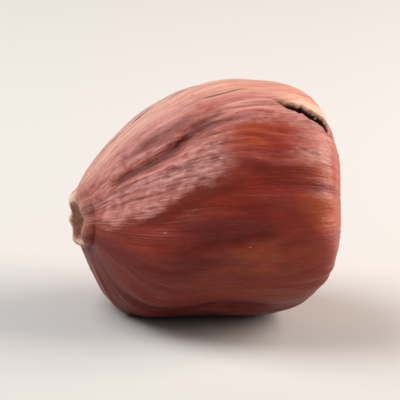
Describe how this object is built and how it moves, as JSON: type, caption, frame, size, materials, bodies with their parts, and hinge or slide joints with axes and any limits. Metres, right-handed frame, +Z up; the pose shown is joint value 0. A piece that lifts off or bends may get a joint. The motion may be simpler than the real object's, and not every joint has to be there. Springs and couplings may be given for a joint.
{
  "type": "hazelnut",
  "caption": "Shelled hazelnut kernel in its brown skin, broad at the base and pointed at the tip, lying on its side.",
  "frame": {"origin": "on the surface it rests on, under the middle of its bounding box", "axes": "+X from the pointed tip to the broad base, +Z up from the surface it rests on, -Y the side with the crack"},
  "size_m": [0.0156, 0.0142, 0.0137],
  "materials": {
    "brown_skin": "satin"
  },
  "bodies": {
    "root": {"kernel": "brown_skin"}
  },
  "joints": []
}
